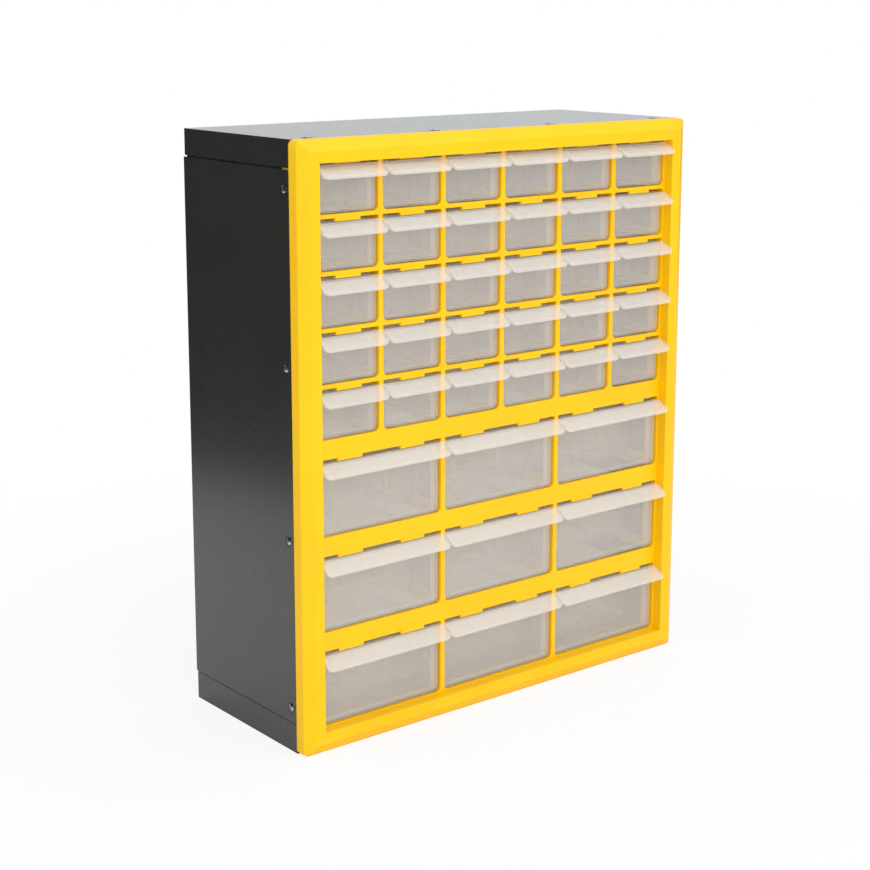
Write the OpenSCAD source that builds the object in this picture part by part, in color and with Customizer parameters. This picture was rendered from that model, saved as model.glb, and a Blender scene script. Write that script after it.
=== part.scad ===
// Parts bin cabinet: a sheet steel casing closed by a moulded front frame, with rows of small
// and large pull-out drawers that hang on short runners behind the frame.
// Millimetres, +Z up, drawer fronts face -Y. The origin is on the floor under the middle of
// the whole cabinet, pull lips included.

/* [Drawer openings] */
// Columns of small drawers
small_cols = 6; // [2:2:8]
// Rows of small drawers
small_rows = 5; // [1:1:6]
// Small columns that one large drawer spans
cols_per_large = 2; // [2]
// Rows of large drawers
large_rows = 3; // [1:1:4]
// Width of a small opening
small_open_w = 56.9; // [50:0.5:64]
// Height of a small opening, below its tab
small_open_h = 37.2; // [32:0.2:44]
// Height of a large opening, below its tabs
large_open_h = 58.7; // [50:0.1:70]
// Width of a divider between two openings
divider_w = 4.3; // [3.5:0.1:6]
// Height of a rail between two small rows
small_rail_h = 5.6; // [5.2:0.1:8]
// Height of a rail above a large row
wide_rail_h = 17.55; // [12:0.05:24]
// Radius at the lower corners of an opening
opening_r = 4.5; // [3:0.5:6]
// Width of a tab at the top edge of an opening
tab_w = 23.5; // [18:0.5:24]
// Height of the notches beside the tabs
notch_h = 2.3; // [1.5:0.1:2.6]
// Width of the corner notches of a large opening
large_notch_w = 17; // [12:0.5:20]

/* [Front frame] */
// Border beside the recess, at the front
border_side = 17.7; // [14:0.1:22]
// Border above the recess
border_top = 17.45; // [14:0.05:22]
// Border below the recess
border_bottom = 17.5; // [14:0.5:22]
// How far the border stands in front of the casing
frame_depth = 15; // [12:0.5:20]
// Depth of the square rim before the bevel starts
rim_depth = 9.5; // [7:0.5:11]
// Width of the bevel, seen from the front
bevel_w = 8.7; // [5:0.1:10]
// Radius that softens the long edges of the border
edge_r = 1.2; // [0.6:0.1:2]
// Radius of the four outer corners of the border
corner_r = 5; // [1:0.5:6]
// Depth of the recess that the drawer fronts lie in
recess_depth = 8.5; // [6:0.5:10]
// Draft of the recess wall, in all
recess_draft = 0.45; // [0.2:0.05:1]
// Strip between the recess wall and the outer openings
side_margin = 1.8; // [1.5:0.1:3]
// Strip between the recess wall and the bottom row
bottom_margin = 0.8; // [0.6:0.1:2]
// Strip between the top row and the recess wall
top_margin = 1.2; // [0.6:0.1:3]
// How far the lattice reaches up behind the border
lattice_lap = 3; // [2.4:0.1:5]
// Thickness of the lattice
lattice_t = 3.2; // [2.5:0.1:4]
// Wall thickness of the moulding
frame_wall = 2.4; // [2:0.1:3]
// How far the spigot enters the casing
spigot_depth = 12; // [10:0.5:16]

/* [Casing] */
// Depth of the steel casing
casing_depth = 147; // [120:1:200]
// Thickness of the steel sheet
sheet_t = 1; // [0.8:0.1:1.2]
// Height of the side flange of the top panel
top_flange = 21; // [15:0.5:28]
// Height of the side flange of the bottom panel
bottom_flange = 23; // [18:0.5:28]
// How far the side panels stand proud of the flanges
flange_step = 1; // [0.6:0.1:1.5]
// Shadow groove between a flange and a side panel
seam_gap = 1.3; // [0.8:0.1:2]
// Height of the tongue that a side panel tucks behind a flange
tongue_h = 12; // [8:0.5:14]
// Width of the flanges at the back
back_flange = 14; // [11:0.5:18]

/* [Drawers] */
// Length of a drawer without its lip
drawer_len = 140; // [100:1:141]
// Running gap around a drawer front in its opening
drawer_gap = 0.4; // [0.3:0.05:0.6]
// Thickness of a drawer front
front_t = 1.8; // [1.5:0.1:2.4]
// How far a drawer front lies behind the face of the lattice
front_set = 2.8; // [0.5:0.1:3]
// Depth of the ledge behind the top of a drawer front
ledge_d = 6; // [2:0.5:8]
// Wall thickness of a drawer
drawer_wall = 1.4; // [1.2:0.1:2]
// Step from the edge of the front to the drawer wall
body_step = 0.8; // [0.5:0.1:1.2]
// How far the drawer walls stop below the top of the front
wall_drop = 1.5; // [1:0.1:3]
// How far the stop on the back wall stands above the front
stop_rise = 1.9; // [1.5:0.1:2.2]
// Width of a stop on the back wall
stop_w = 16; // [10:0.5:18]
// Height of the ribs of the divider slots
slot_rib = 1.2; // [0.8:0.1:1.5]
// Width of a divider slot
slot_w = 1.8; // [1.4:0.1:2.4]

/* [Pull lips] */
// How far a lip reaches in front of the lattice
lip_reach = 13.1; // [9:0.1:16]
// How far a lip drops towards its edge
lip_drop = 8.5; // [5:0.1:11]
// Thickness of a lip
lip_t = 1.6; // [1.3:0.1:2]
// Gap between neighbouring lips
lip_gap = 1.5; // [1.2:0.1:3]
// Radius of the lower corners of a lip
lip_r = 4.5; // [3:0.5:8]
// Width of the raised rim along the lower edge of a lip
lip_rim_w = 1.5; // [1:0.1:2]
// Height of that rim
lip_rim_h = 0.7; // [0.4:0.1:1]

/* [Runners and guides] */
// Length of a runner behind the lattice
runner_len = 70; // [40:1:90]
// Thickness of a runner's ledge
runner_t = 1.8; // [1.5:0.1:2.2]
// Width of ledge under a drawer's edge
ledge_w = 5; // [4:0.1:7]
// Thickness of a runner's web
web_t = 1.6; // [1.2:0.1:2]
// Height of the web beside a small drawer
small_web_h = 4.5; // [3:0.5:18]
// Height of the web beside a large drawer
large_web_h = 6; // [4:0.5:24]
// Depth of the cell walls behind the dividers
cell_wall_d = 12; // [8:0.5:20]
// Thickness of a cell wall
cell_wall_t = 2.4; // [1.6:0.1:3]
// Width across the feet of a floor guide
guide_foot_w = 26; // [22:0.5:30]
// Width of the top of a floor guide
guide_top_w = 14.5; // [13:0.5:17]
// Length of a floor guide
guide_len = 112; // [60:1:115]

/* [Fasteners] */
// Screws along one edge of the frame
frame_screws = 4; // [2:1:5]
// From an end screw to the end of its side
screw_end_z = 36.5; // [28:0.5:60]
// From an end screw to the side of the top or bottom
screw_end_x = 21; // [18:0.5:40]
// From a frame screw to the front edge of the casing
screw_inset = 6.5; // [5:0.1:7]
// Radius of a screw head
screw_head_r = 3; // [2.5:0.1:3.4]
// Height of a screw head
screw_head_h = 1.7; // [1.2:0.1:2.2]
// Radius of a screw's shank
screw_r = 1.5; // [1:0.1:1.75]
// Length of a screw below its head
screw_len = 8; // [6:0.5:8.5]
// Radius of the dimple around a screw head
dimple_r = 4.4; // [3.8:0.1:5]
// Depth of that dimple
dimple_d = 0.4; // [0.2:0.05:0.5]
// Screws along one side of the back panel
side_back_screws = 3; // [2:1:5]

/* [Wall hangers] */
// Distance between the two keyholes
keyhole_span = 250; // [150:5:300]
// Distance from the top of the cabinet to a keyhole's slot end
keyhole_drop = 62; // [45:1:100]
// Radius of a keyhole's round end
keyhole_r = 4.5; // [4:0.1:6]
// Radius of a keyhole's slot
keyhole_slot_r = 2.3; // [1.8:0.1:2.8]
// Length between both ends of a keyhole
keyhole_len = 9; // [7:0.5:14]

/* [Hidden] */
$fn = 48;
arc_steps = 6;
eps = 0.01;
lap_gap = 0.2;
panel_gap = 0.3;
large_cols = small_cols / cols_per_large;
small_pitch_x = small_open_w + divider_w;
large_pitch_x = small_pitch_x * cols_per_large;
large_open_w = large_pitch_x - divider_w;
small_pitch_z = small_open_h + small_rail_h;
large_pitch_z = large_open_h + wide_rail_h;
cells_w = small_cols * small_pitch_x - divider_w;
cells_h = large_rows * large_pitch_z + small_rows * small_pitch_z - small_rail_h;
lattice_w = cells_w + 2 * side_margin;
recess_h = bottom_margin + cells_h + top_margin;
lattice_h = recess_h + lattice_lap;
body_w = lattice_w + 2 * (border_side + recess_draft);
body_h = recess_h + border_top + border_bottom + 2 * recess_draft;
lattice_z = border_bottom + recess_draft;
cells_z = lattice_z + bottom_margin;
small_rows_z = cells_z + large_rows * large_pitch_z;
// Pull lips
lip_angle = atan2(lip_drop, lip_reach);
lip_len = norm([lip_drop, lip_reach]);
lip_lead = 0.4;
// Planes along Y, from back to front
lattice_ahead = frame_depth - recess_depth;
lip_front = lip_lead + lip_reach + lip_rim_h * sin(lip_angle);
total_depth = casing_depth + max(frame_depth, lattice_ahead + lip_front);
back_y = total_depth / 2;
casing_y = back_y - casing_depth;
lattice_y = casing_y - lattice_ahead;
front_y = casing_y - frame_depth;
// Casing
flange_x = body_w / 2 - flange_step;
tongue_x = flange_x - sheet_t - lap_gap;
side_z0 = bottom_flange + seam_gap;
side_z1 = body_h - top_flange - seam_gap;
spigot_x = tongue_x;
spigot_gap_z = sheet_t + lap_gap;
tongue_y = casing_y + spigot_depth + panel_gap;
back_panel_y = back_y - sheet_t;
screw_y = casing_y + screw_inset;
boss_w = 2 * (screw_head_r + 2);
boss_len = screw_len + 1;
boss_hole_r = screw_r + 0.05;
cross_w = screw_head_r * 0.28;
flat_head_h = screw_head_r - screw_r;
countersink_gap = 0.1;
back_screw_len = 5;
// Drawers
stop_travel = drawer_len - drawer_wall - lattice_t - 0.3;
cell_wall_y = lattice_y + lattice_t + cell_wall_d;
guide_h = cells_z - sheet_t;
guide_y = tongue_y + 2;

function small_x(c) = (c - (small_cols + 1) / 2) * small_pitch_x;
function large_x(c) = (c - (large_cols + 1) / 2) * large_pitch_x;
function small_z(r) = small_rows_z + (small_rows - r) * small_pitch_z;
function large_z(r) = cells_z + (large_rows - r) * large_pitch_z;
function small_name(r, c) = str("small_drawer_r", r, "c", c);
function large_name(r, c) = str("large_drawer_r", r, "c", c);
// Tabs of an opening, as distances from its middle
small_tabs = [0];
large_tab_x = large_open_w / 2 - large_notch_w - tab_w / 2;
large_tabs = [-large_tab_x, large_tab_x];

small_names = [for (r = [1:small_rows]) for (c = [1:small_cols]) small_name(r, c)];
large_names = [for (r = [1:large_rows]) for (c = [1:large_cols]) large_name(r, c)];

frame_colour = [0.98, 0.78, 0.12];
steel_colour = [0.24, 0.25, 0.25];
plastic_colour = [0.85, 0.82, 0.78, 0.75];
zinc_colour = [0.75, 0.76, 0.78];

// ---------------------------------------------------------------- helpers

// Points of an arc of radius r that softens corner b between a and c
function soft(a, b, c, r, n = 4) =
    let (u = (a - b) / norm(a - b), v = (c - b) / norm(c - b),
         half = acos(u * v) / 2, m = (u + v) / norm(u + v),
         o = b + m * r / sin(half),
         p = b + u * r / tan(half), q = b + v * r / tan(half),
         a0 = atan2(p[1] - o[1], p[0] - o[0]), a1 = atan2(q[1] - o[1], q[0] - o[0]),
         turn = (a1 - a0 > 180) ? a1 - a0 - 360 : (a1 - a0 < -180) ? a1 - a0 + 360 : a1 - a0)
    [for (k = [0:n]) o + r * [cos(a0 + turn * k / n), sin(a0 + turn * k / n)]];

// Half of the border's outline: distance across, distance forward
function border_half(w, inset) =
    let (rim = [-w / 2 + inset, rim_depth - inset * 0.4],
         top = [-w / 2 + bevel_w + inset * 0.6, frame_depth - inset],
         foot = [-w / 2 + inset, -1], mid = [0, frame_depth - inset])
    concat([foot], soft(foot, rim, top, edge_r), soft(rim, top, mid, edge_r));

function mirrored(pts) = concat(pts, [for (k = [len(pts) - 1:-1:0]) [-pts[k][0], pts[k][1]]]);

// A block with the border's bevel on its four sides: two crossed extrusions
module bevelled_block(inset = 0) {
    intersection() {
        translate([0, casing_y, 0])
            linear_extrude(body_h)
                mirror([0, 1]) polygon(mirrored(border_half(body_w, inset)));
        translate([-body_w / 2, casing_y, body_h / 2])
            rotate([90, 0, 90])
                linear_extrude(body_w)
                    rotate(90) polygon(mirrored(border_half(body_h, inset)));
    }
}

// A rectangular block centred on X, given by its planes
module slab(w, y0, y1, z0, z1) {
    translate([-w / 2, y0, z0]) cube([w, y1 - y0, z1 - z0]);
}

// A flat outline in X and Z, carried from y0 to y1
module along_y(y0, y1) {
    translate([0, y1, 0]) rotate([90, 0, 0]) linear_extrude(y1 - y0) children();
}

// A rectangle with round lower corners, standing on z = 0
module round_floor(w, h, r) {
    polygon(concat(soft([-w / 2, h], [-w / 2, 0], [0, 0], r, arc_steps),
                   soft([0, 0], [w / 2, 0], [w / 2, h], r, arc_steps),
                   [[w / 2, h], [-w / 2, h]]));
}

// ---------------------------------------------------------------- front frame

// One opening: a round-floored hole with notches beside its tabs
module opening(w, h, tabs) {
    round_floor(w, h, opening_r);
    difference() {
        translate([-w / 2, h - eps]) square([w, notch_h + eps]);
        for (t = tabs) translate([t - tab_w / 2, h - 2 * eps]) square([tab_w, notch_h + 1]);
    }
}

module all_openings() {
    for (r = [1:small_rows]) for (c = [1:small_cols])
        translate([small_x(c), small_z(r)]) opening(small_open_w, small_open_h, small_tabs);
    for (r = [1:large_rows]) for (c = [1:large_cols])
        translate([large_x(c), large_z(r)]) opening(large_open_w, large_open_h, large_tabs);
}

module front_lattice() {
    color(frame_colour)
        along_y(lattice_y, lattice_y + lattice_t)
            difference() {
                translate([-lattice_w / 2, lattice_z]) square([lattice_w, lattice_h]);
                all_openings();
            }
}

// The recess narrows by its draft from the front of the border to the lattice
module recess_cutter() {
    near = lattice_w / 2;
    wide = near + recess_draft * (recess_depth + 2) / recess_depth;
    low = lattice_z;
    high = lattice_z + recess_h;
    drop = recess_draft * (recess_depth + 2) / recess_depth;
    intersection() {
        translate([0, lattice_y, 0])
            linear_extrude(body_h)
                polygon([[-near, 0], [near, 0], [wide, -recess_depth - 2],
                         [-wide, -recess_depth - 2]]);
        translate([-body_w / 2, lattice_y, 0])
            rotate([90, 0, 90])
                linear_extrude(body_w)
                    polygon([[0, low], [0, high], [-recess_depth - 2, high + drop],
                             [-recess_depth - 2, low - drop]]);
    }
}

// Outline of the border's outer corners, rounded
module border_outline() {
    for (sx = [-1, 1]) for (z = [corner_r, body_h - corner_r])
        translate([sx * (body_w / 2 - corner_r), z]) circle(corner_r);
    translate([-body_w / 2 + corner_r, 0]) square([body_w - 2 * corner_r, body_h]);
    translate([-body_w / 2, corner_r]) square([body_w, body_h - 2 * corner_r]);
}

// Places its children at every screw of one side (s = -1 left, 1 right), axis outward
module at_side_screws(s) {
    for (k = [0:frame_screws - 1])
        translate([s * body_w / 2, screw_y,
                   screw_end_z + k * (body_h - 2 * screw_end_z) / (frame_screws - 1)])
            rotate([0, s * 90, 0]) children();
}

// The same along the top (s = 1) or the bottom (s = -1)
module at_end_screws(s) {
    for (k = [0:frame_screws - 1])
        translate([-body_w / 2 + screw_end_x
                   + k * (body_w - 2 * screw_end_x) / (frame_screws - 1),
                   screw_y, s > 0 ? body_h : 0])
            mirror([0, 0, s > 0 ? 0 : 1]) children();
}

// A boss behind the spigot wall; its axis points out of the casing
module screw_boss(start) {
    translate([-boss_w / 2, -screw_inset, -boss_len - start])
        cube([boss_w, spigot_depth, boss_len]);
}

module front_frame() {
    spigot_w = 2 * spigot_x;
    spigot_z1 = body_h - spigot_gap_z;
    color(frame_colour)
    difference() {
        union() {
            difference() {
                intersection() {
                    bevelled_block();
                    along_y(front_y - 1, casing_y) border_outline();
                }
                // hollow behind the border, open to the casing
                difference() {
                    intersection() {
                        bevelled_block(frame_wall);
                        slab(2 * (spigot_x - frame_wall), front_y, casing_y + 1,
                             spigot_gap_z + frame_wall, spigot_z1 - frame_wall);
                    }
                    slab(lattice_w + 2 * frame_wall, front_y - 1, casing_y + 2,
                         lattice_z - frame_wall, lattice_z + lattice_h + frame_wall);
                }
            }
            // spigot
            difference() {
                slab(spigot_w, casing_y - eps, casing_y + spigot_depth, spigot_gap_z, spigot_z1);
                slab(spigot_w - 2 * frame_wall, casing_y - 1, casing_y + spigot_depth + 1,
                     spigot_gap_z + frame_wall, spigot_z1 - frame_wall);
            }
            for (s = [-1, 1]) {
                at_side_screws(s) screw_boss(sheet_t);
                at_end_screws(s) screw_boss(sheet_t);
            }
        }
        // the hole that the lattice closes, and the recess in front of it
        slab(lattice_w, lattice_y - eps, casing_y + 1, lattice_z, lattice_z + lattice_h);
        recess_cutter();
        for (s = [-1, 1]) {
            at_side_screws(s) translate([0, 0, -screw_len - 1])
                cylinder(h = screw_len + 2, r = boss_hole_r);
            at_end_screws(s) translate([0, 0, -screw_len - 1])
                cylinder(h = screw_len + 2, r = boss_hole_r);
        }
        at_end_screws(-1) flat_head(countersink_gap);
    }
}

// ---------------------------------------------------------------- runners and guides

// A T rail between two columns: ledges under both drawers and a web between them
module middle_runner(web_h) {
    along_y(cell_wall_y, lattice_y + lattice_t + runner_len) {
        translate([-divider_w / 2 - ledge_w, -runner_t])
            square([divider_w + 2 * ledge_w, runner_t]);
        translate([-web_t / 2, -eps]) square([web_t, web_h]);
    }
}

// An L rail at the side of the outer column; the ledge points to +X
module side_runner(web_h) {
    along_y(cell_wall_y, lattice_y + lattice_t + runner_len) {
        translate([-side_margin, -runner_t]) square([side_margin + ledge_w, runner_t]);
        translate([-side_margin, -eps]) square([web_t, web_h]);
    }
}

module runner_row(z, cols, pitch, web_h) {
    translate([0, 0, z]) {
        for (c = [1:cols - 1]) translate([(c - cols / 2) * pitch, 0, 0]) middle_runner(web_h);
        translate([-cells_w / 2, 0, 0]) side_runner(web_h);
        translate([cells_w / 2, 0, 0]) mirror([1, 0, 0]) side_runner(web_h);
    }
}

// A wall behind a divider, through all rows of one size; x0 and x1 are its sides
module cell_wall(x0, x1, z0, z1) {
    translate([x0, lattice_y + lattice_t, z0]) cube([x1 - x0, cell_wall_d, z1 - z0]);
}

module cell_wall_rows(z0, z1, cols, pitch) {
    for (c = [1:cols - 1])
        translate([(c - cols / 2) * pitch, 0, 0])
            cell_wall(-cell_wall_t / 2, cell_wall_t / 2, z0, z1);
    translate([-cells_w / 2 - side_margin, 0, 0]) cell_wall(0, web_t, z0, z1);
    mirror([1, 0, 0])
        translate([-cells_w / 2 - side_margin, 0, 0]) cell_wall(0, web_t, z0, z1);
}

module cell_walls() {
    color(frame_colour) {
        cell_wall_rows(small_rows_z, small_z(1) + small_open_h, small_cols, small_pitch_x);
        cell_wall_rows(cells_z, large_z(1) + large_open_h, large_cols, large_pitch_x);
    }
}

module small_runners() {
    color(frame_colour)
        for (r = [1:small_rows]) runner_row(small_z(r), small_cols, small_pitch_x, small_web_h);
}

module large_runners() {
    color(frame_colour)
        for (r = [1:large_rows - 1])
            runner_row(large_z(r), large_cols, large_pitch_x, large_web_h);
}

// A folded hat strip that stands on the bottom panel
module floor_guide() {
    along_y(guide_y, guide_y + guide_len)
        translate([0, sheet_t])
            difference() {
                union() {
                    translate([-guide_top_w / 2, 0]) square([guide_top_w, guide_h]);
                    translate([-guide_foot_w / 2, 0]) square([guide_foot_w, sheet_t]);
                }
                translate([-guide_top_w / 2 + sheet_t, -eps])
                    square([guide_top_w - 2 * sheet_t, guide_h - sheet_t + eps]);
            }
}

module floor_guides() {
    outer_x = cells_w / 2 - guide_top_w / 2 + side_margin;
    color(steel_colour) {
        for (c = [1:large_cols - 1])
            translate([(c - large_cols / 2) * large_pitch_x, 0, 0]) floor_guide();
        for (s = [-1, 1]) translate([s * outer_x, 0, 0]) floor_guide();
    }
}

// ---------------------------------------------------------------- casing

// A sheet tray seen from the front, lying on z = 0 with its flanges up
module tray_outline(flange) {
    difference() {
        translate([-flange_x, 0]) square([2 * flange_x, flange]);
        translate([-flange_x + sheet_t, sheet_t])
            square([2 * (flange_x - sheet_t), flange]);
    }
}

module tray(flange) {
    inner_x = flange_x - sheet_t - lap_gap;
    along_y(casing_y, back_y) tray_outline(flange);
    // flange at the back, between the side flanges
    slab(2 * inner_x, back_y - sheet_t, back_y, sheet_t - eps, back_flange);
}

// Clearance hole and dimple of a frame screw; the axis points out of the casing
module screw_seat() {
    translate([0, 0, -sheet_t - 1]) cylinder(h = sheet_t + 2, r = screw_r + 0.3);
    translate([0, 0, -dimple_d]) cylinder(h = 1, r = dimple_r);
}

module top_panel() {
    color(steel_colour)
        difference() {
            translate([0, 0, body_h]) mirror([0, 0, 1]) tray(top_flange);
            at_end_screws(1) screw_seat();
            back_screw_holes();
        }
}

module bottom_panel() {
    color(steel_colour)
        difference() {
            tray(bottom_flange);
            at_end_screws(-1) flat_head(countersink_gap);
            back_screw_holes();
        }
}

// The left side panel: face, tongues behind both trays' flanges, flange at the back
module side_panel() {
    face_x = body_w / 2;
    difference() {
        union() {
            translate([-face_x, casing_y, side_z0])
                cube([sheet_t, casing_depth, side_z1 - side_z0]);
            for (z = [side_z0, side_z1 - sheet_t])
                translate([-face_x, tongue_y, z])
                    cube([face_x - tongue_x + sheet_t, back_y - tongue_y, sheet_t]);
            translate([-tongue_x, tongue_y, side_z0 - tongue_h])
                cube([sheet_t, back_y - sheet_t - panel_gap - tongue_y, tongue_h + sheet_t]);
            translate([-tongue_x, tongue_y, side_z1 - sheet_t])
                cube([sheet_t, back_y - sheet_t - panel_gap - tongue_y, tongue_h + sheet_t]);
            translate([-face_x, back_y - sheet_t, side_z0])
                cube([back_flange, sheet_t, side_z1 - side_z0]);
        }
        at_side_screws(-1) screw_seat();
        back_screw_holes();
    }
}

module left_side_panel() {
    color(steel_colour) side_panel();
}

module right_side_panel() {
    color(steel_colour) mirror([1, 0, 0]) side_panel();
}

// Places its children at every screw of the back panel, axis to +Y
module at_back_screws() {
    inset = back_flange / 2;
    for (s = [-1, 1]) for (k = [0:side_back_screws - 1])
        translate([s * (body_w / 2 - inset), back_y,
                   side_z0 + 20 + k * (side_z1 - side_z0 - 40) / (side_back_screws - 1)])
            rotate([-90, 0, 0]) children();
    for (z = [inset, body_h - inset])
        translate([0, back_y, z]) rotate([-90, 0, 0]) children();
}

module back_screw_holes() {
    at_back_screws() flat_head(countersink_gap);
}

// A keyhole: round end below, slot above
module keyhole() {
    circle(keyhole_r);
    translate([0, keyhole_len]) circle(keyhole_slot_r);
    translate([-keyhole_slot_r, 0]) square([2 * keyhole_slot_r, keyhole_len]);
}

module back_panel() {
    panel_w = 2 * (tongue_x - sheet_t - panel_gap);
    color(steel_colour)
        difference() {
            along_y(back_panel_y - sheet_t, back_panel_y)
                difference() {
                    translate([-panel_w / 2, sheet_t + panel_gap])
                        square([panel_w, body_h - 2 * (sheet_t + panel_gap)]);
                    for (s = [-1, 1])
                        translate([s * keyhole_span / 2, body_h - keyhole_drop - keyhole_len])
                            keyhole();
                }
            back_screw_holes();
        }
}

// ---------------------------------------------------------------- fasteners

// A pan head with a cross recess; its seat is z = 0 and its axis points out
module screw() {
    difference() {
        union() {
            intersection() {
                cylinder(h = screw_head_h, r = screw_head_r);
                translate([0, 0, screw_head_h - screw_head_r * 1.6])
                    sphere(screw_head_r * 1.6);
            }
            translate([0, 0, -screw_len]) cylinder(h = screw_len + eps, r = screw_r);
        }
        cross_recess(screw_head_h * 0.45);
    }
}

// A cross recess, open upward from z = floor_z
module cross_recess(floor_z) {
    for (a = [0, 90]) rotate(a)
        translate([-screw_head_r * 0.55, -cross_w / 2, floor_z])
            cube([screw_head_r * 1.1, cross_w, 2 * screw_head_h]);
}

// A countersunk head, flush with z = 0, and its shank; gap widens the head for its seat
module flat_head(gap = 0) {
    rotate_extrude() polygon([[0, gap], [screw_head_r + gap, gap], [screw_head_r + gap, 0],
        [screw_r + gap, -flat_head_h], [screw_r + gap, -flat_head_h - 1], [0, -flat_head_h - 1]]);
}

module flat_screw(len) {
    difference() {
        union() {
            flat_head();
            translate([0, 0, -len]) cylinder(h = len - flat_head_h, r = screw_r);
        }
        cross_recess(-flat_head_h * 0.6);
    }
}

module left_frame_screws() {
    color(zinc_colour) at_side_screws(-1) translate([0, 0, -dimple_d]) screw();
}

module right_frame_screws() {
    color(zinc_colour) at_side_screws(1) translate([0, 0, -dimple_d]) screw();
}

module top_frame_screws() {
    color(zinc_colour) at_end_screws(1) translate([0, 0, -dimple_d]) screw();
}

module bottom_frame_screws() {
    color(zinc_colour) at_end_screws(-1) flat_screw(screw_len);
}

module back_screws() {
    color(zinc_colour) at_back_screws() flat_screw(back_screw_len);
}

// ---------------------------------------------------------------- drawers

// Plan of a pull lip: its root lies on y = 0 and its far corners are round
module lip_plan(w, len, r) {
    polygon(concat([[w / 2, 0], [-w / 2, 0]],
                   soft([-w / 2, 0], [-w / 2, -len], [0, -len], r, arc_steps),
                   soft([0, -len], [w / 2, -len], [w / 2, 0], r, arc_steps)));
}

module pull_lip(w) {
    rotate([lip_angle, 0, 0]) {
        translate([0, 0, -lip_t]) linear_extrude(lip_t) lip_plan(w, lip_len, lip_r);
        translate([0, 0, -lip_t])
            linear_extrude(lip_t + lip_rim_h)
                difference() {
                    lip_plan(w, lip_len, lip_r);
                    translate([0, eps])
                        lip_plan(w - 2 * lip_rim_w, lip_len - lip_rim_w, lip_r - lip_rim_w);
                    translate([-w / 2 - 1, -lip_len * 0.3]) square([w + 2, lip_len]);
                }
    }
}

// A drawer in its opening; x = 0 and z = 0 are the middle and the floor of the opening
module drawer(open_w, open_h, pitch_w, stops) {
    front_w = open_w - 2 * drawer_gap;
    front_h = open_h - 2 * drawer_gap;
    outer_w = front_w - 2 * body_step;
    inner_w = outer_w - 2 * drawer_wall;
    wall_h = front_h - wall_drop;
    front_r = opening_r - drawer_gap;
    back = lattice_y + drawer_len;
    set_y = lattice_y + front_set;
    slot_y = lattice_y + drawer_len / 2;
    translate([0, 0, drawer_gap]) {
        // front, and the ledge that stiffens its top
        along_y(set_y, set_y + front_t) round_floor(front_w, front_h, front_r);
        slab(outer_w, set_y + eps, set_y + front_t + ledge_d, wall_h, front_h);
        // walls and floor
        difference() {
            along_y(set_y + front_t - eps, back)
                round_floor(outer_w, wall_h + eps, front_r - body_step);
            along_y(set_y + front_t - 2 * eps, back - drawer_wall)
                translate([0, drawer_wall])
                    round_floor(inner_w, wall_h, front_r - body_step - drawer_wall);
        }
        // stops on the back wall, which meet the tabs of the opening
        for (t = stops)
            translate([t, 0, 0])
                slab(stop_w, back - drawer_wall, back, wall_h - eps, front_h + stop_rise);
        // slots for a cross divider
        for (s = [-1, 1]) for (d = [-1, 1])
            translate([s * (inner_w / 2 - slot_rib / 2 + eps), slot_y + d * (slot_w + 1) / 2, 0])
                slab(slot_rib, -0.5, 0.5, drawer_wall + front_r, wall_h - 4);
        // neck and pull lip
        slab(front_w, lattice_y - lip_lead - lip_t, set_y + eps,
             front_h - lip_t - lip_rim_h, front_h);
        intersection() {
            translate([0, lattice_y - lip_lead, front_h]) pull_lip(pitch_w - lip_gap);
            slab(pitch_w, lattice_y - 2 * lip_reach, lattice_y - lip_lead, 0, 2 * front_h);
        }
    }
}

module small_drawer(r, c) {
    color(plastic_colour)
        translate([small_x(c), 0, small_z(r)])
            drawer(small_open_w, small_open_h, small_pitch_x, small_tabs);
}

module large_drawer(r, c) {
    color(plastic_colour)
        translate([large_x(c), 0, large_z(r)])
            drawer(large_open_w, large_open_h, large_pitch_x, large_tabs);
}

// ---------------------------------------------------------------- output

front_frame();
front_lattice();
cell_walls();
small_runners();
large_runners();
floor_guides();
top_panel();
bottom_panel();
left_side_panel();
right_side_panel();
back_panel();
left_frame_screws();
right_frame_screws();
top_frame_screws();
bottom_frame_screws();
back_screws();
for (r = [1:small_rows]) for (c = [1:small_cols])
    small_drawer(r, c);
for (r = [1:large_rows]) for (c = [1:large_cols])
    large_drawer(r, c);
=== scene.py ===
"""Parts bin cabinet: finishes, studio and camera around the fixed CAD frame."""

import math

import bmesh
import bpy
from bpy.props import FloatProperty, FloatVectorProperty, PointerProperty, StringProperty
from bpy.types import Operator, Panel, PropertyGroup
from mathutils import Matrix, Vector


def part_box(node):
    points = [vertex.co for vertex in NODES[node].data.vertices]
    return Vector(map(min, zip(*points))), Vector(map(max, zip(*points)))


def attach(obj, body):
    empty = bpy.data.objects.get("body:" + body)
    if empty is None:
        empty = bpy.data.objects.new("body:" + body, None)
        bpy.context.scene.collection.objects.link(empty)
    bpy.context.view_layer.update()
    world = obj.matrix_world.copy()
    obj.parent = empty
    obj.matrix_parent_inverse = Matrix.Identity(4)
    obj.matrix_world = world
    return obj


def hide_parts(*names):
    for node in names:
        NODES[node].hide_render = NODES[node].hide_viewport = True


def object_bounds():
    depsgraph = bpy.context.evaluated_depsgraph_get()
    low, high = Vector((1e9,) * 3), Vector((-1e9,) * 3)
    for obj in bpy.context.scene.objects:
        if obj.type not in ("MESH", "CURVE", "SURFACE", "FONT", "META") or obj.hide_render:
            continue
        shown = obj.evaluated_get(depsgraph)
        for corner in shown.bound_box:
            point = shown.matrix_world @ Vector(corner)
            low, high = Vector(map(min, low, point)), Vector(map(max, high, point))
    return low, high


bl_info = {
    "name": "Parts Bin Cabinet",
    "version": (1, 0, 0),
    "blender": (4, 5, 0),
    "location": "3D View > Sidebar > Cabinet",
    "description": "Finishes a steel cabinet of small and large translucent drawers",
    "category": "Object",
}

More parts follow.
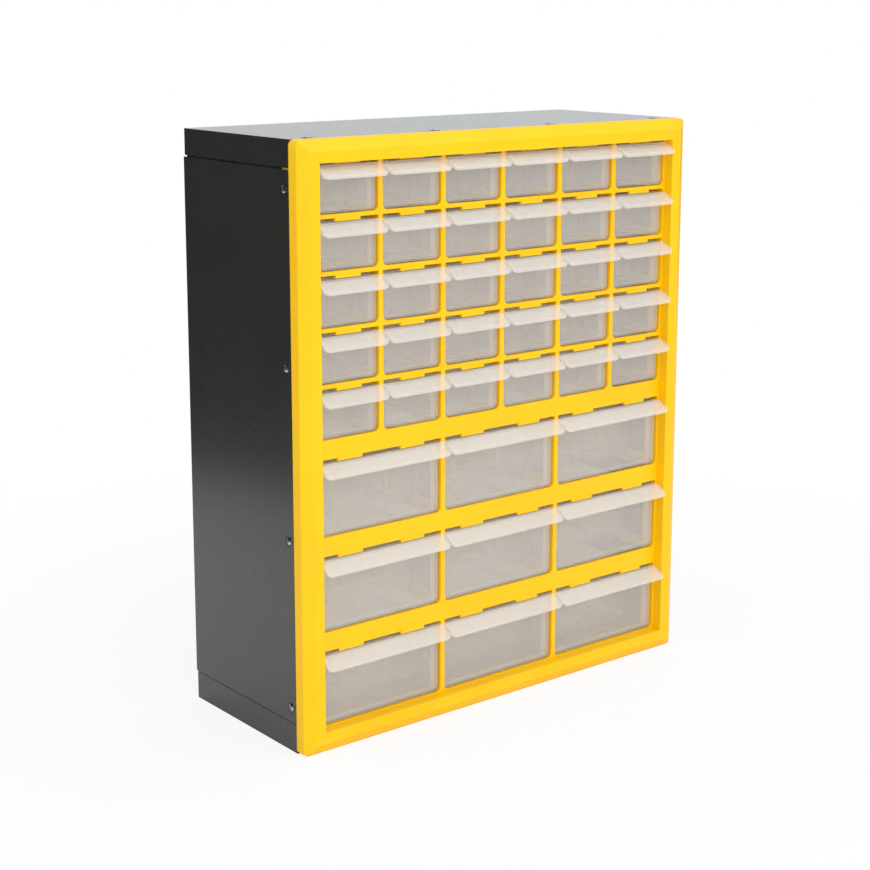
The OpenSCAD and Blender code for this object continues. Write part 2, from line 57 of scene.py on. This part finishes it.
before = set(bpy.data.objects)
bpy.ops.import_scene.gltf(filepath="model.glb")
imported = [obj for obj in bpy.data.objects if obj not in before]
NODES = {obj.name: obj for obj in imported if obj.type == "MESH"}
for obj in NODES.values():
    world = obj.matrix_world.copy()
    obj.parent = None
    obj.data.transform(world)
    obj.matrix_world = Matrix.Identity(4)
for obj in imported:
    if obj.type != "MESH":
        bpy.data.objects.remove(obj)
CAD_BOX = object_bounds()
MOULDED_NODES = ("front_lattice", "cell_walls", "small_runners", "large_runners")
SHEET_NODES = ("top_panel", "bottom_panel", "left_side_panel", "right_side_panel",
               "back_panel", "floor_guides")
SCREW_NODES = ("left_frame_screws", "right_frame_screws", "top_frame_screws",
               "bottom_frame_screws", "back_screws")
DRAWER_NODES = sorted(n for n in NODES if "_drawer_" in n)
MM = 0.001

# rounding: faces that turn by less are one face, and edges that turn by more are sharp
FLAT_TURN = math.radians(0.5)
SHARP_TURN = math.radians(40)
# a sharp edge and the faces beside it are this many times longer and wider than its rounding
ROUNDING_ROOM = 2.5
# noise values between which a finish goes from its first colour or number to its second
NOISE_LOW, NOISE_HIGH = 0.3, 0.7
# strength of the unlit side of the room, as gloss sees it
UNLIT = 0.03


# ---------------------------------------------------------------- helpers

def linear(hex_colour):
    """An sRGB hex colour as linear red, green, blue and alpha."""
    channels = [int(hex_colour[i:i + 2], 16) / 255 for i in (1, 3, 5)]
    return tuple(c / 12.92 if c <= 0.04045 else ((c + 0.055) / 1.055) ** 2.4
                 for c in channels) + (1.0,)


def add_node(tree, kind, settings=None, links=None):
    """Adds a shader node, sets its properties and sockets, and links its inputs."""
    node = tree.nodes.new(kind)
    for key, value in (settings or {}).items():
        if isinstance(key, str) and hasattr(node, key):
            setattr(node, key, value)
        else:
            node.inputs[key].default_value = value
    for key, socket in (links or {}).items():
        tree.links.new(socket, node.inputs[key])
    return node


def new_material(name):
    """An empty node material and its output node."""
    material = bpy.data.materials.new(name)
    material.use_nodes = True
    material.node_tree.nodes.clear()
    output = add_node(material.node_tree, "ShaderNodeOutputMaterial")
    return material, material.node_tree, output


def object_noise(tree, size_mm, detail=2.0, roughness=0.5, stretch=(1, 1, 1)):
    """Noise on Object coordinates whose grains are about size_mm across."""
    place = add_node(tree, "ShaderNodeTexCoord")
    scaled = add_node(tree, "ShaderNodeMapping", {"Scale": stretch},
                      {"Vector": place.outputs["Object"]})
    return add_node(tree, "ShaderNodeTexNoise",
                    {"Scale": 1 / (size_mm * MM), "Detail": detail, "Roughness": roughness},
                    {"Vector": scaled.outputs["Vector"]})


def between(tree, socket, low, high):
    """Maps a noise to a range of plain numbers."""
    return add_node(tree, "ShaderNodeMapRange",
                    {"From Min": NOISE_LOW, "From Max": NOISE_HIGH, "To Min": low,
                     "To Max": high}, {"Value": socket}).outputs["Result"]


def tint(tree, socket, dark, light):
    """Mixes two hex colours by a noise."""
    ramp = add_node(tree, "ShaderNodeValToRGB", None, {"Fac": socket})
    ends = zip(ramp.color_ramp.elements, (NOISE_LOW, NOISE_HIGH), (dark, light))
    for element, position, colour in ends:
        element.position = position
        element.color = linear(colour)
    return ramp.outputs["Color"]


def relief(tree, layers):
    """Chains bumps; each layer is a height socket, its strength and its depth in mm."""
    normal = None
    for height, strength, depth_mm in layers:
        bump = add_node(tree, "ShaderNodeBump",
                        {"Strength": strength, "Distance": depth_mm * MM}, {"Height": height})
        if normal:
            tree.links.new(normal, bump.inputs["Normal"])
        normal = bump.outputs["Normal"]
    return normal


def rounded_copy(name, width):
    """A copy of a CAD node with its long sharp outer edges rounded, which replaces the node."""
    bm = bmesh.new()
    bm.from_mesh(NODES[name].data)
    bmesh.ops.remove_doubles(bm, verts=bm.verts, dist=0.001 * MM)
    bmesh.ops.dissolve_limit(bm, angle_limit=FLAT_TURN, use_dissolve_boundaries=False,
                             verts=bm.verts, edges=bm.edges)
    area = {face: face.calc_area() for face in bm.faces}
    room = ROUNDING_ROOM * width
    sharp = [edge for edge in bm.edges
             if edge.is_manifold and edge.is_convex
             and edge.calc_face_angle() > SHARP_TURN and edge.calc_length() > room
             and min(area[face] for face in edge.link_faces) > room * edge.calc_length()]
    bmesh.ops.bevel(bm, geom=sharp, offset=width, offset_type="OFFSET", segments=2,
                    profile=0.5, affect="EDGES", clamp_overlap=False, material=-1)
    mesh = bpy.data.meshes.new(f"{name}_rounded")
    bm.to_mesh(mesh)
    bm.free()
    piece = bpy.data.objects.new(mesh.name, mesh)
    bpy.context.scene.collection.objects.link(piece)
    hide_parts(name)
    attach(piece, name if name in DRAWER_NODES else "cabinet")
    return piece


def paint(node_names, material, edge_mm=0):
    """Gives CAD nodes a finish; with edge_mm their edges are rounded that wide first."""
    for name in node_names:
        piece = rounded_copy(name, edge_mm * MM) if edge_mm else NODES[name]
        piece.data.materials.clear()
        piece.data.materials.append(material)


# ---------------------------------------------------------------- finishes

def moulded_polystyrene(look):
    """High impact polystyrene, injection moulded in a spark-eroded tool.

    The tool leaves a fine even grain that scatters the gloss, and the colour runs all
    through the plastic, a little deeper in large soft clouds."""
    material, tree, output = new_material("moulded_polystyrene_yellow")
    cloud = object_noise(tree, 90, 3)
    # grain of about 0.4 mm, drawn at 0.9 mm so that it shows
    grain = object_noise(tree, 0.9, 2)
    sink = object_noise(tree, 22, 1)
    colour = tint(tree, cloud.outputs["Fac"], look.moulding_deep, look.moulding)
    normal = relief(tree, [(sink.outputs["Fac"], 0.12, 0.5), (grain.outputs["Fac"], 0.16, 0.08)])
    shader = add_node(tree, "ShaderNodeBsdfPrincipled",
                      {"IOR": 1.5, "Specular IOR Level": 0.3},
                      {"Base Color": colour, "Normal": normal,
                       "Roughness": between(tree, grain.outputs["Fac"], 0.36, 0.46)})
    tree.links.new(shader.outputs["BSDF"], output.inputs["Surface"])
    return material


def powder_coated_steel(look):
    """Cold rolled sheet steel with a baked powder coat.

    The powder flows into a faint orange peel, and the coat has a satin sheen that turns
    bright where it is seen along the sheet."""
    material, tree, output = new_material("powder_coated_steel_anthracite")
    cloud = object_noise(tree, 60, 3)
    # peel of about 1.5 mm, drawn at 2 mm so that it shows
    peel = object_noise(tree, 2.0, 1)
    speck = object_noise(tree, 0.7, 0)
    colour = tint(tree, cloud.outputs["Fac"], look.steel_deep, look.steel)
    normal = relief(tree, [(peel.outputs["Fac"], 0.07, 0.10), (speck.outputs["Fac"], 0.04, 0.03)])
    shader = add_node(tree, "ShaderNodeBsdfPrincipled",
                      {"IOR": 1.5, "Coat Weight": 0.5, "Coat Roughness": 0.12},
                      {"Base Color": colour, "Normal": normal,
                       "Roughness": between(tree, peel.outputs["Fac"], 0.26, 0.34)})
    tree.links.new(shader.outputs["BSDF"], output.inputs["Surface"])
    return material


def frosted_polypropylene(look):
    """Natural polypropylene, injection moulded thin.

    The plastic is milky: part of the light scatters at each skin and the rest passes, so
    what lies behind a front shows faintly. The rear of a trough is denser: it stands for the
    light that many such walls, one behind the other, send back."""
    material, tree, output = new_material("frosted_polypropylene_natural")
    haze = object_noise(tree, 30, 3)
    flow = object_noise(tree, 14, 2, 0.5, (1, 1, 3))
    grain = object_noise(tree, 0.8, 1)
    colour = tint(tree, haze.outputs["Fac"], look.drawer_deep, look.drawer)
    normal = relief(tree, [(flow.outputs["Fac"], 0.05, 0.4), (grain.outputs["Fac"], 0.04, 0.05)])
    place = add_node(tree, "ShaderNodeTexCoord")
    depth = add_node(tree, "ShaderNodeSeparateXYZ", None, {"Vector": place.outputs["Object"]})
    lip_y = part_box(DRAWER_NODES[0])[0][1]
    # where the parts of a drawer end, in millimetres behind the edge of its lip
    lip_end, front_end, rim_end, near_end, rear_start = 15.5, 19, 24.5, 45, 90
    # those places, and the share of light that a skin scatters there
    stops = ((lip_end, look.lip_density), (lip_end + 0.5, look.front_density),
             (front_end, look.front_density), (front_end + 0.5, look.rim_density),
             (rim_end, look.rim_density), (rim_end + 1, look.near_density),
             (near_end, look.near_density), (rear_start, look.rear_density))
    share = add_node(tree, "ShaderNodeMapRange",
                     {"From Min": lip_y, "From Max": lip_y + stops[-1][0] * MM},
                     {"Value": depth.outputs["Y"]})
    density = add_node(tree, "ShaderNodeValToRGB", None, {"Fac": share.outputs["Result"]})
    points = density.color_ramp.elements
    while len(points) < len(stops):
        points.new(0.5)
    for point, (distance, value) in zip(points, stops):
        point.position = distance / stops[-1][0]
        point.color = (value, value, value, 1)
    # behind the front the walls get a faint warm tint: painted light from the yellow moulding
    behind = add_node(tree, "ShaderNodeMapRange",
                      {"From Min": lip_y + (front_end - 1) * MM,
                       "From Max": lip_y + (front_end + 1) * MM},
                      {"Value": depth.outputs["Y"]})
    painted_glow = add_node(tree, "ShaderNodeMix", {"data_type": "RGBA", "blend_type": "MULTIPLY",
                                             7: linear(look.painted_inside_glow)},
                     {0: behind.outputs["Result"], 6: colour})
    shader = add_node(tree, "ShaderNodeBsdfPrincipled", {"IOR": 1.35},
                      {"Base Color": painted_glow.outputs[2], "Normal": normal,
                       "Alpha": density.outputs["Color"],
                       "Roughness": between(tree, flow.outputs["Fac"], 0.24, 0.32)})
    tree.links.new(shader.outputs["BSDF"], output.inputs["Surface"])
    return material


def zinc_plated_steel(look):
    """Cold headed steel with a bright zinc plate: clean, slightly blue, finely turned."""
    material, tree, output = new_material("zinc_plated_steel_bright")
    spots = object_noise(tree, 0.8, 2)
    colour = tint(tree, spots.outputs["Fac"], look.zinc_deep, look.zinc)
    normal = relief(tree, [(spots.outputs["Fac"], 0.1, 0.03)])
    shader = add_node(tree, "ShaderNodeBsdfPrincipled", {"Metallic": 1.0},
                      {"Base Color": colour, "Normal": normal,
                       "Roughness": between(tree, spots.outputs["Fac"], 0.22, 0.34)})
    tree.links.new(shader.outputs["BSDF"], output.inputs["Surface"])
    return material


def backdrop_paper(look):
    """White paper on the studio floor; the lens sees it almost white, shadow and all."""
    material, tree, output = new_material("backdrop_paper_white")
    fibre = object_noise(tree, 1.5, 2)
    colour = tint(tree, fibre.outputs["Fac"], "#F1F1F1", "#F6F6F6")
    paper = add_node(tree, "ShaderNodeBsdfDiffuse", None, {"Color": colour})
    white = add_node(tree, "ShaderNodeEmission", {"Strength": 1.0})
    path = add_node(tree, "ShaderNodeLightPath")
    # to gloss the sheet is a wide circle about a point to the right of the cabinet; it fades
    # out between two radii, to the left of the cabinet, into an unlit room
    centre_x, sheet_fades, sheet_ends = 0.9, 1.5, 1.75
    place = add_node(tree, "ShaderNodeTexCoord")
    centred = add_node(tree, "ShaderNodeMapping", {"Location": (-centre_x, 0, 0)},
                       {"Vector": place.outputs["Object"]})
    reach = add_node(tree, "ShaderNodeVectorMath", {"operation": "LENGTH"},
                     {0: centred.outputs["Vector"]})
    beyond = add_node(tree, "ShaderNodeMapRange",
                      {"interpolation_type": "SMOOTHSTEP", "From Min": sheet_fades,
                       "From Max": sheet_ends}, {"Value": reach.outputs["Value"]})
    unlit = add_node(tree, "ShaderNodeMath", {"operation": "MULTIPLY"},
                     {0: path.outputs["Is Glossy Ray"], 1: beyond.outputs["Result"]})
    dark = add_node(tree, "ShaderNodeEmission", {"Strength": UNLIT})
    sheet = add_node(tree, "ShaderNodeMixShader", None,
                     {0: unlit.outputs["Value"], 1: paper.outputs["BSDF"],
                      2: dark.outputs["Emission"]})
    # the lens sees the paper as nearly white within the cabinet's shadow, and wholly white
    # farther out
    shadow_end, white_start = 0.3, 0.8
    near = add_node(tree, "ShaderNodeVectorMath", {"operation": "LENGTH"},
                    {0: place.outputs["Object"]})
    far = add_node(tree, "ShaderNodeMapRange",
                   {"interpolation_type": "SMOOTHSTEP", "From Min": shadow_end,
                    "From Max": white_start, "To Min": look.backdrop_white, "To Max": 1.0},
                   {"Value": near.outputs["Value"]})
    share = add_node(tree, "ShaderNodeMath", {"operation": "MULTIPLY"},
                     {0: path.outputs["Is Camera Ray"], 1: far.outputs["Result"]})
    mixed = add_node(tree, "ShaderNodeMixShader", None,
                     {0: share.outputs["Value"], 1: sheet.outputs["Shader"],
                      2: white.outputs["Emission"]})
    tree.links.new(mixed.outputs["Shader"], output.inputs["Surface"])
    return material


# ---------------------------------------------------------------- settings

class CabinetLook(PropertyGroup):
    """Colours of the cabinet and its studio."""
    moulding: StringProperty(name="Moulding", description="Main colour of the front moulding",
                             default="#FFCB02")
    moulding_deep: StringProperty(name="Moulding, deep", description="Its deeper clouds",
                                  default="#FEC402")
    steel: StringProperty(name="Steel", description="Main colour of the coated sheet",
                          default="#2F302C")
    steel_deep: StringProperty(name="Steel, deep", description="Its darker clouds",
                               default="#2B2C28")
    drawer: StringProperty(name="Drawer", description="Main colour of the drawers",
                           default="#FEFBF7")
    drawer_deep: StringProperty(name="Drawer, deep", description="Their hazier clouds",
                                default="#FDF9F3")
    # painted light: a warm tint on the walls behind the fronts, for the yellow moulding's glow
    painted_inside_glow: StringProperty(name="Drawer, inside",
                                  description="Tint of the walls behind the fronts",
                                  default="#FEF8F0")
    lip_density: FloatProperty(name="Lip density", default=0.34, min=0, max=1,
                               subtype="FACTOR",
                               description="Share of light that a skin of a pull lip scatters")
    front_density: FloatProperty(name="Front density", default=0.24, min=0, max=1,
                                 subtype="FACTOR",
                                 description="The same for the fronts")
    rim_density: FloatProperty(name="Rim density", default=0.5, min=0, max=1,
                               subtype="FACTOR",
                               description="The same for the ledge and walls that meet a front")
    near_density: FloatProperty(name="Near density", default=0.19, min=0, max=1,
                                subtype="FACTOR",
                                description="The same for the walls in the front half")
    rear_density: FloatProperty(name="Rear density", default=0.95, min=0, max=1,
                                subtype="FACTOR",
                                description="The same for the rear half of the troughs")
    zinc: StringProperty(name="Zinc", description="Colour of the screws", default="#D3D6DB")
    zinc_deep: StringProperty(name="Zinc, deep", description="Their dull spots",
                              default="#B4B8BE")
    backdrop_white: FloatProperty(name="Backdrop white", default=0.85, min=0, max=1,
                                  subtype="FACTOR",
                                  description="How far the lens sees the paper as white")


class CabinetStudio(PropertyGroup):
    """Camera and lamps."""
    place: FloatVectorProperty(name="Camera place", size=3, subtype="TRANSLATION", unit="LENGTH",
                               default=(-0.9251, -1.1358, 0.5740),
                               description="Where the lens stands")
    yaw: FloatProperty(name="Yaw", default=math.radians(38.744), subtype="ANGLE",
                       description="Turn of the view to the right of +Y")
    pitch: FloatProperty(name="Pitch", default=math.radians(11.09), subtype="ANGLE",
                         description="Downward tilt of the view")
    roll: FloatProperty(name="Roll", default=math.radians(0.079), subtype="ANGLE",
                        description="Turn of the camera about its view")
    lens: FloatProperty(name="Lens", default=73.39, min=20, max=200, unit="CAMERA",
                        description="Focal length")
    shift: FloatProperty(name="Shift", default=-0.10, min=-0.2, max=0.2,
                         description="Vertical shift, for the photograph's framing")
    sky: FloatProperty(name="Room light", default=0.8, min=0, max=2,
                       description="Strength of the even light around the cabinet")
    key: FloatProperty(name="Key lamp", default=14, min=0, max=100, unit="POWER",
                       description="Power of the large lamp in front")
    fill: FloatProperty(name="Fill lamp", default=6, min=0, max=100, unit="POWER",
                        description="Power of the lamp above")
    bounce: FloatProperty(name="Floor lamp", default=2, min=0, max=100, unit="POWER",
                          description="Power of the low lamp that lifts the lower bevels")


# ---------------------------------------------------------------- operators

def area_lamp(name, place, aim, size, power):
    """A square soft lamp that looks at a point."""
    lamp = bpy.data.lights.new(name, "AREA")
    lamp.size = size
    lamp.energy = power
    holder = bpy.data.objects.new(name, lamp)
    bpy.context.scene.collection.objects.link(holder)
    holder.location = place
    holder.rotation_euler = (Vector(aim) - Vector(place)).to_track_quat("-Z", "Y").to_euler()


def photo_camera(studio):
    """The photograph's camera: its view is turned by yaw, then pitch, then roll."""
    lens = bpy.data.cameras.new("camera")
    lens.sensor_width = 36
    lens.lens = studio.lens
    lens.shift_y = studio.shift
    lens.clip_end = 50
    camera = bpy.data.objects.new("camera", lens)
    bpy.context.scene.collection.objects.link(camera)
    yaw, pitch, roll = studio.yaw, studio.pitch, studio.roll
    view = Vector((math.sin(yaw) * math.cos(pitch), math.cos(yaw) * math.cos(pitch),
                   -math.sin(pitch)))
    side = Vector((math.cos(yaw), -math.sin(yaw), 0))
    up = side.cross(view)
    right = side * math.cos(roll) + up * math.sin(roll)
    top = up * math.cos(roll) - side * math.sin(roll)
    turned = Matrix((right, top, -view)).transposed().to_4x4()
    camera.matrix_world = Matrix.Translation(studio.place) @ turned
    bpy.context.scene.camera = camera


def room_light(studio):
    """A room of even light, which the lens sees as white.

    Gloss sees a white wall behind and to the right, and an unlit room to the left."""
    world = bpy.data.worlds.new("room")
    world.use_nodes = True
    tree = world.node_tree
    tree.nodes.clear()
    path = add_node(tree, "ShaderNodeLightPath")
    # how far a ray points to the right, from -1 to 1, where the wall starts and is wholly white
    wall_start, wall_full = -0.45, 0.35
    compass = add_node(tree, "ShaderNodeTexCoord")
    rightward = add_node(tree, "ShaderNodeSeparateXYZ", None,
                         {"Vector": compass.outputs["Generated"]})
    wall = add_node(tree, "ShaderNodeMapRange",
                    {"interpolation_type": "SMOOTHSTEP", "From Min": wall_start,
                     "From Max": wall_full, "To Min": UNLIT, "To Max": 1.0},
                    {"Value": rightward.outputs["X"]})
    gloss = add_node(tree, "ShaderNodeBackground", {"Color": linear("#F4F8F8")},
                     {"Strength": wall.outputs["Result"]})
    seen = add_node(tree, "ShaderNodeMath", {"operation": "MAXIMUM"},
                    {0: path.outputs["Is Camera Ray"], 1: path.outputs["Is Transmission Ray"]})
    room = add_node(tree, "ShaderNodeBackground",
                    {"Color": linear("#FFFFFF"), "Strength": studio.sky})
    white = add_node(tree, "ShaderNodeBackground",
                     {"Color": linear("#FFFFFF"), "Strength": 1.0})
    lit = add_node(tree, "ShaderNodeMixShader", None,
                   {0: path.outputs["Is Glossy Ray"], 1: room.outputs["Background"],
                    2: gloss.outputs["Background"]})
    mixed = add_node(tree, "ShaderNodeMixShader", None,
                     {0: seen.outputs["Value"], 1: lit.outputs["Shader"],
                      2: white.outputs["Background"]})
    add_node(tree, "ShaderNodeOutputWorld", None, {"Surface": mixed.outputs["Shader"]})
    bpy.context.scene.world = world


def studio_floor(look):
    """A sheet of paper, 0.2 mm under the cabinet so that the two don't flicker."""
    mesh = bpy.data.meshes.new("studio_floor")
    bm = bmesh.new()
    bmesh.ops.create_grid(bm, x_segments=2, y_segments=2, size=12)
    bmesh.ops.translate(bm, verts=bm.verts, vec=(0, 0, CAD_BOX[0][2] - 0.2 * MM))
    bm.to_mesh(mesh)
    bm.free()
    floor = bpy.data.objects.new("studio_floor", mesh)
    bpy.context.scene.collection.objects.link(floor)
    mesh.materials.append(backdrop_paper(look))


class CABINET_OT_studio(Operator):
    """Makes the camera, the lamps, the room light and the floor"""
    bl_idname = "cabinet.studio"
    bl_label = "Studio"

    def execute(self, context):
        scene, studio = context.scene, context.scene.cabinet_studio
        scene.view_settings.view_transform = "Standard"
        photo_camera(studio)
        room_light(studio)
        area_lamp("key_lamp", place=(-0.9, -1.9, 1.5), aim=(0, 0, 0.25), size=1.4,
                  power=studio.key)
        area_lamp("top_lamp", place=(0.4, -0.6, 1.9), aim=(0, 0, 0.2), size=1.2,
                  power=studio.fill)
        area_lamp("floor_lamp", place=(-0.2, -1.1, 0.05), aim=(0, 0, 0.12), size=0.8,
                  power=studio.bounce)
        studio_floor(scene.cabinet_look)
        return {"FINISHED"}


class CABINET_OT_casing(Operator):
    """Coats the sheet steel panels of the casing"""
    bl_idname = "cabinet.casing"
    bl_label = "Casing"

    def execute(self, context):
        paint(SHEET_NODES, powder_coated_steel(context.scene.cabinet_look))
        return {"FINISHED"}


class CABINET_OT_moulding(Operator):
    """Finishes the moulded front frame, its lattice and the runners"""
    bl_idname = "cabinet.moulding"
    bl_label = "Front moulding"

    def execute(self, context):
        plastic = moulded_polystyrene(context.scene.cabinet_look)
        paint(("front_frame",), plastic, edge_mm=0.6)
        paint(MOULDED_NODES, plastic, edge_mm=0.35)
        return {"FINISHED"}


class CABINET_OT_drawers(Operator):
    """Finishes the small and large drawers"""
    bl_idname = "cabinet.drawers"
    bl_label = "Drawers"

    def execute(self, context):
        paint(DRAWER_NODES, frosted_polypropylene(context.scene.cabinet_look),
              edge_mm=0.3)
        return {"FINISHED"}


class CABINET_OT_screws(Operator):
    """Finishes the frame screws and the back screws"""
    bl_idname = "cabinet.screws"
    bl_label = "Screws"

    def execute(self, context):
        paint(SCREW_NODES, zinc_plated_steel(context.scene.cabinet_look))
        return {"FINISHED"}


OPERATORS = (CABINET_OT_studio, CABINET_OT_casing, CABINET_OT_moulding, CABINET_OT_drawers,
             CABINET_OT_screws)


class CABINET_PT_sidebar(Panel):
    """Lists the cabinet's operators"""
    bl_idname = "CABINET_PT_sidebar"
    bl_label = "Parts Bin Cabinet"
    bl_space_type = "VIEW_3D"
    bl_region_type = "UI"
    bl_category = "Cabinet"

    def draw(self, context):
        for operator in OPERATORS:
            self.layout.operator(operator.bl_idname)
        for group in (context.scene.cabinet_look, context.scene.cabinet_studio):
            for name in group.__annotations__:
                self.layout.prop(group, name)


CLASSES = (CabinetLook, CabinetStudio) + OPERATORS + (CABINET_PT_sidebar,)


def register():
    for item in CLASSES:
        bpy.utils.register_class(item)
    bpy.types.Scene.cabinet_look = PointerProperty(type=CabinetLook)
    bpy.types.Scene.cabinet_studio = PointerProperty(type=CabinetStudio)


def unregister():
    del bpy.types.Scene.cabinet_look
    del bpy.types.Scene.cabinet_studio
    for item in reversed(CLASSES):
        bpy.utils.unregister_class(item)


def main():
    register()
    bpy.ops.cabinet.studio()
    bpy.ops.cabinet.casing()
    bpy.ops.cabinet.moulding()
    bpy.ops.cabinet.drawers()
    bpy.ops.cabinet.screws()


if __name__ == "__main__":
    main()
